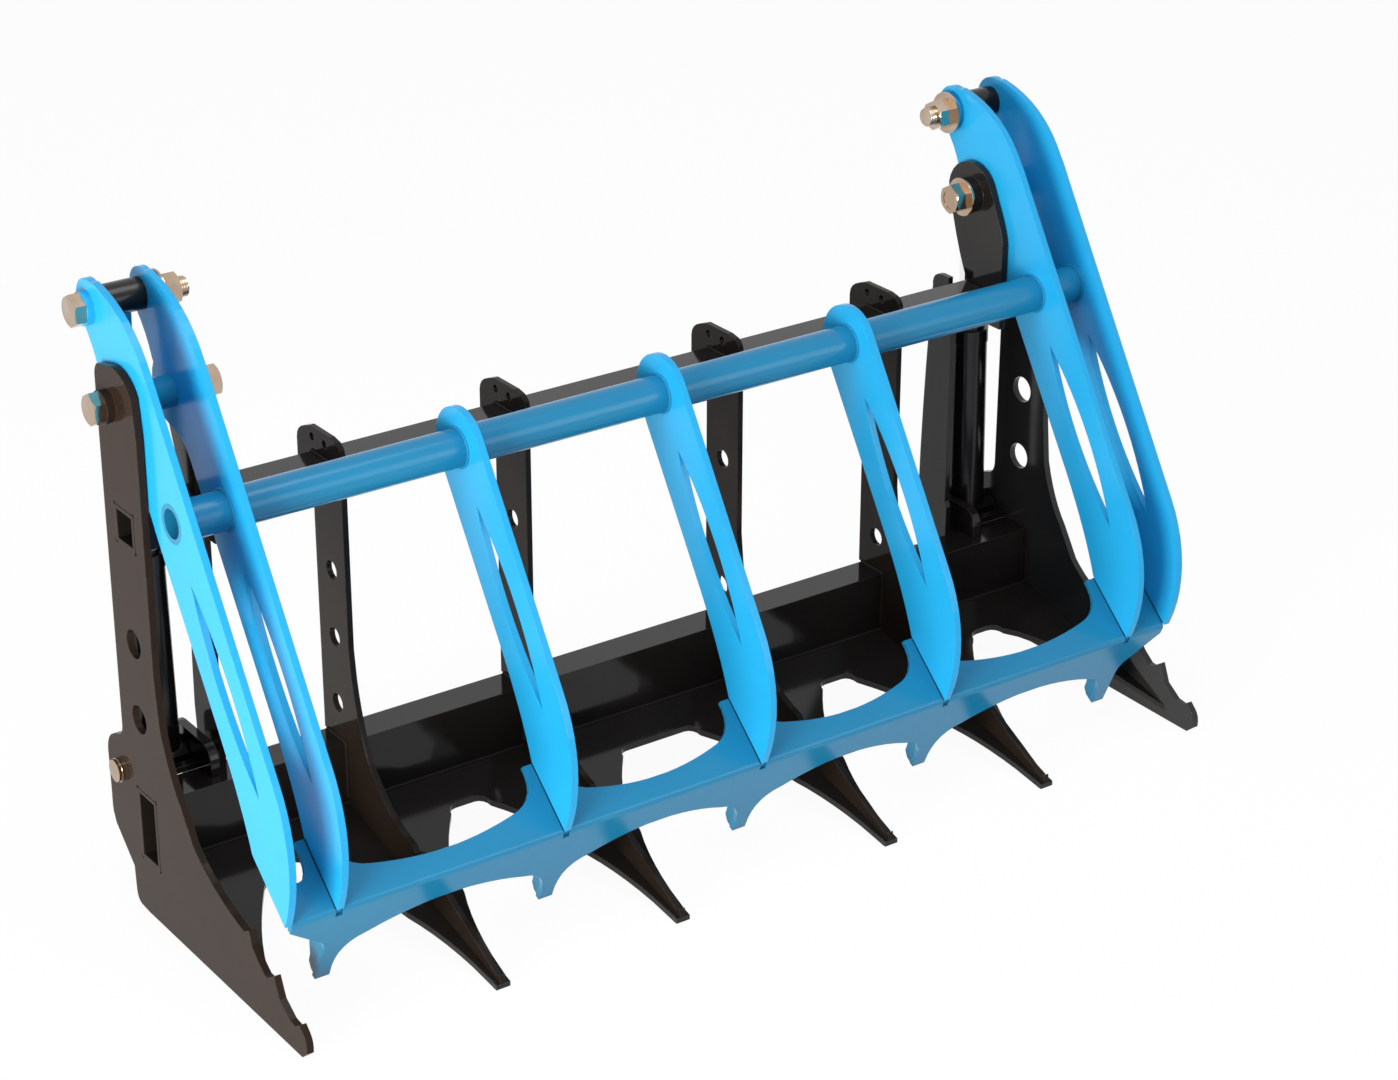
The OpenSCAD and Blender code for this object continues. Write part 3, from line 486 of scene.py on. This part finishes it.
# Threads of the lever bolts: a coarse rolled thread, zinc plated with the bolt, one ridge wound
# round the end of each bolt where it stands out of its nut.
def thread_tree():
    tree = bpy.data.node_groups.new("rolled thread", "GeometryNodeTree")
    for label, kind in (("Starts", "NodeSocketGeometry"), ("Bolt radius", "NodeSocketFloat"),
                        ("Pitch", "NodeSocketFloat"), ("Turns", "NodeSocketFloat"),
                        ("Plating", "NodeSocketMaterial")):
        tree.interface.new_socket(label, in_out="INPUT", socket_type=kind)
    tree.interface.new_socket("Threads", in_out="OUTPUT", socket_type="NodeSocketGeometry")
    given, made = tree.nodes.new("NodeGroupInput"), tree.nodes.new("NodeGroupOutput")
    link = tree.links.new
    ridge_per_pitch = 0.42
    wound = tree.nodes.new("GeometryNodeCurveSpiral")
    wound.inputs["Resolution"].default_value = 28
    rise = maths(tree, "MULTIPLY", given.outputs["Pitch"], given.outputs["Turns"])
    ridge = maths(tree, "MULTIPLY", given.outputs["Pitch"], ridge_per_pitch)
    crest = tree.nodes.new("GeometryNodeCurvePrimitiveCircle")
    crest.inputs["Resolution"].default_value = 4
    sweep = tree.nodes.new("GeometryNodeCurveToMesh")
    sweep.inputs["Fill Caps"].default_value = True
    lay = tree.nodes.new("GeometryNodeTransform")
    lay.inputs["Rotation"].default_value = (0, math.pi / 2, 0)
    put = tree.nodes.new("GeometryNodeInstanceOnPoints")
    real = tree.nodes.new("GeometryNodeRealizeInstances")
    plating = tree.nodes.new("GeometryNodeSetMaterial")
    link(given.outputs["Turns"], wound.inputs["Rotations"])
    link(given.outputs["Bolt radius"], wound.inputs["Start Radius"])
    link(given.outputs["Bolt radius"], wound.inputs["End Radius"])
    link(rise, wound.inputs["Height"])
    link(ridge, crest.inputs["Radius"])
    link(wound.outputs["Curve"], sweep.inputs["Curve"])
    link(crest.outputs["Curve"], sweep.inputs["Profile Curve"])
    link(sweep.outputs["Mesh"], lay.inputs["Geometry"])
    link(given.outputs["Starts"], put.inputs["Points"])
    link(lay.outputs["Geometry"], put.inputs["Instance"])
    link(put.outputs["Instances"], real.inputs["Geometry"])
    link(real.outputs["Geometry"], plating.inputs["Geometry"])
    link(given.outputs["Plating"], plating.inputs["Material"])
    link(plating.outputs["Geometry"], made.inputs["Threads"])
    return tree


off_nut, off_end = 0.002, 0.001  # the thread's start, outside the left nut and inside the right bolt
bolt_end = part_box("lever_bolt_left")[1].x
lever_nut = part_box("lever_nut_left")
nut_mid = sum(lever_nut, Vector()) / 2
thread_starts = [(lever_nut[1].x + off_nut, nut_mid.y, nut_mid.z),
                 (-bolt_end + off_end, nut_mid.y, nut_mid.z)]
thread_mesh = bpy.data.meshes.new("bolt_threads")
thread_mesh.from_pydata(thread_starts, [], [])
grown("bolt_threads", thread_tree(), thread_mesh,
      {"Bolt radius": 0.0155, "Pitch": 0.0036, "Turns": 3.3, "Plating": zinc}, "jaw")


# Hydraulic cylinders: the barrel, base tube, gland and rod eye are turned and welded steel in
# gloss black; the rod is ground and hard-chromed; the piston inside is bare machined steel.
cylinder_black = enamel_material(
    "cylinder black enamel", (0.0045, 0.0045, 0.0047), (0.0060, 0.0058, 0.0058),
    (0.030, 0.030, 0.030), gloss=(0.16, 0.24), shine=0.3, coat=0.1)
chrome = bare_metal("hard chrome", (0.88, 0.88, 0.89), (0.82, 0.82, 0.83),
                    rough=(0.04, 0.09), grain=0.02, scale=90.0)
machined = bare_metal("machined steel", (0.52, 0.51, 0.50), (0.44, 0.43, 0.42),
                      rough=(0.25, 0.4), grain=0.1, scale=160.0)
for side in ("left", "right"):
    paint_nodes([f"{part}_{side}" for part in ("barrel", "base_tube", "gland", "rod_eye")],
                cylinder_black)
    paint_nodes([f"rod_{side}"], chrome)
    paint_nodes([f"piston_{side}"], machined)


# Rod wipers: a lip of black polyurethane pressed into each gland, that scrapes the rod clean
# as it slides in.
wiper_rubber = enamel_material(
    "black polyurethane", (0.010, 0.010, 0.010), (0.015, 0.015, 0.015),
    (0.020, 0.020, 0.020), gloss=(0.55, 0.70), shine=0.4, coat=0.0)
wiper_section = [(-0.0020, 0.0176), (-0.0020, 0.0225), (0.0006, 0.0225),
                 (0.0030, 0.0190), (0.0034, 0.0177)]
neck_step, neck_height = 0.006, 0.008  # the gland's neck: narrower by, and as high as
slides = {joint["name"]: Vector(joint["axis"])
          for joint in frame["joints"] if joint["type"] == "slide"}
for side in ("left", "right"):
    axis = slides[f"rod_{side}_stroke"]
    gland_low, gland_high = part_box(f"gland_{side}")
    gland_r = (gland_high.x - gland_low.x) / 2
    gland_top = Vector(((gland_low.x + gland_high.x) / 2,
                        gland_high.y - gland_r * axis.z + neck_height * axis.y,
                        gland_high.z - (gland_r - neck_step) * axis.y))
    ring(f"rod_wiper_{side}", [(gland_top, axis)], wiper_section,
         wiper_rubber, f"barrel_{side}_body")


# Studio: a white sweep under the rake and white round it, a wide soft box low on the left,
# one overhead and a small fill in front, with a long lens in front of the left corner.
def white_where_seen(tree, lit, output):
    seen = tree.nodes.new("ShaderNodeEmission")
    seen.inputs["Color"].default_value = (1, 1, 1, 1)
    rays = tree.nodes.new("ShaderNodeLightPath")
    share = rays.outputs["Is Camera Ray"]
    for name in ("Is Glossy Ray", "Is Transmission Ray"):
        share = maths(tree, "MAXIMUM", share, rays.outputs[name])
    mix = tree.nodes.new("ShaderNodeMixShader")
    tree.links.new(lit, mix.inputs[1])
    tree.links.new(seen.outputs["Emission"], mix.inputs[2])
    tree.links.new(mix.outputs["Shader"], output)
    return share, mix.inputs["Fac"]


white_share = 0.95  # of the floor that is seen; the rest is lit, so it keeps the shadow
floor_half = 30
floor_white = bpy.data.materials.new("studio floor")
floor_white.use_nodes = True
floor_tree = floor_white.node_tree
floor_shader = floor_tree.nodes["Principled BSDF"]
floor_shader.inputs["Base Color"].default_value = (0.85, 0.85, 0.85, 1)
floor_shader.inputs["Roughness"].default_value = 0.7
share, factor = white_where_seen(floor_tree, floor_shader.outputs["BSDF"],
                                 floor_tree.nodes["Material Output"].inputs["Surface"])
floor_tree.links.new(ranged(floor_tree, share, 0.0, 1.0, 0.0, white_share), factor)

floor_mesh = bpy.data.meshes.new("studio_floor")
floor_mesh.from_pydata([(-floor_half, -floor_half, 0), (floor_half, -floor_half, 0),
                        (floor_half, floor_half, 0), (-floor_half, floor_half, 0)],
                       [], [(0, 1, 2, 3)])
floor_object = bpy.data.objects.new("studio_floor", floor_mesh)
bpy.context.scene.collection.objects.link(floor_object)
floor_mesh.materials.append(floor_white)

world = bpy.data.worlds.new("studio")
world.use_nodes = True
bpy.context.scene.world = world
world_tree = world.node_tree
around = world_tree.nodes["Background"]
around.inputs["Color"].default_value = (0.90, 0.96, 1, 1)
around.inputs["Strength"].default_value = 0.36
share, factor = white_where_seen(world_tree, around.outputs["Background"],
                                 world_tree.nodes["World Output"].inputs["Surface"])
world_tree.links.new(share, factor)


def soft_box(name, at, aim, size, power, colour=(1, 1, 1)):
    light = bpy.data.lights.new(name, "AREA")
    light.shape = "RECTANGLE"
    light.size, light.size_y = size
    light.energy = power
    light.color = colour
    lamp = bpy.data.objects.new(name, light)
    lamp.location = at
    lamp.rotation_euler = (Vector(aim) - Vector(at)).to_track_quat("-Z", "Y").to_euler()
    bpy.context.scene.collection.objects.link(lamp)


soft_box("soft_box_top", (-0.6, -0.8, 4.2), (0, 0, 0.4), size=(3.5, 3.0), power=120)
soft_box("soft_box_left", (-4.7, -1.8, 0.8), (-0.3, 0, 0.4), size=(2.4, 1.4), power=345,
         colour=(1.0, 0.88, 0.76))
soft_box("soft_box_front", (2.5, -4.6, 1.8), (0, 0, 0.5), size=(2.5, 2.5), power=45)

camera_data = bpy.data.cameras.new("camera")
camera_data.sensor_width = 36.0
camera_data.lens = 85.94
camera_data.clip_end = 60.0
camera = bpy.data.objects.new("camera", camera_data)
camera_place = (-2.8804, -4.1252, 2.8819)
turn, drop, roll = math.radians(35.31), math.radians(25.30), math.radians(0.24)
ahead = Vector((math.sin(turn) * math.cos(drop), math.cos(turn) * math.cos(drop), -math.sin(drop)))
across = Vector((math.cos(turn), -math.sin(turn), 0))
upward = across.cross(ahead)
across, upward = (across * math.cos(roll) + upward * math.sin(roll),
                  upward * math.cos(roll) - across * math.sin(roll))
camera.matrix_world = Matrix.Translation(camera_place) @ Matrix(
    (across, upward, -ahead)).transposed().to_4x4()
bpy.context.scene.collection.objects.link(camera)
bpy.context.scene.camera = camera
bpy.context.scene.view_settings.view_transform = "Standard"
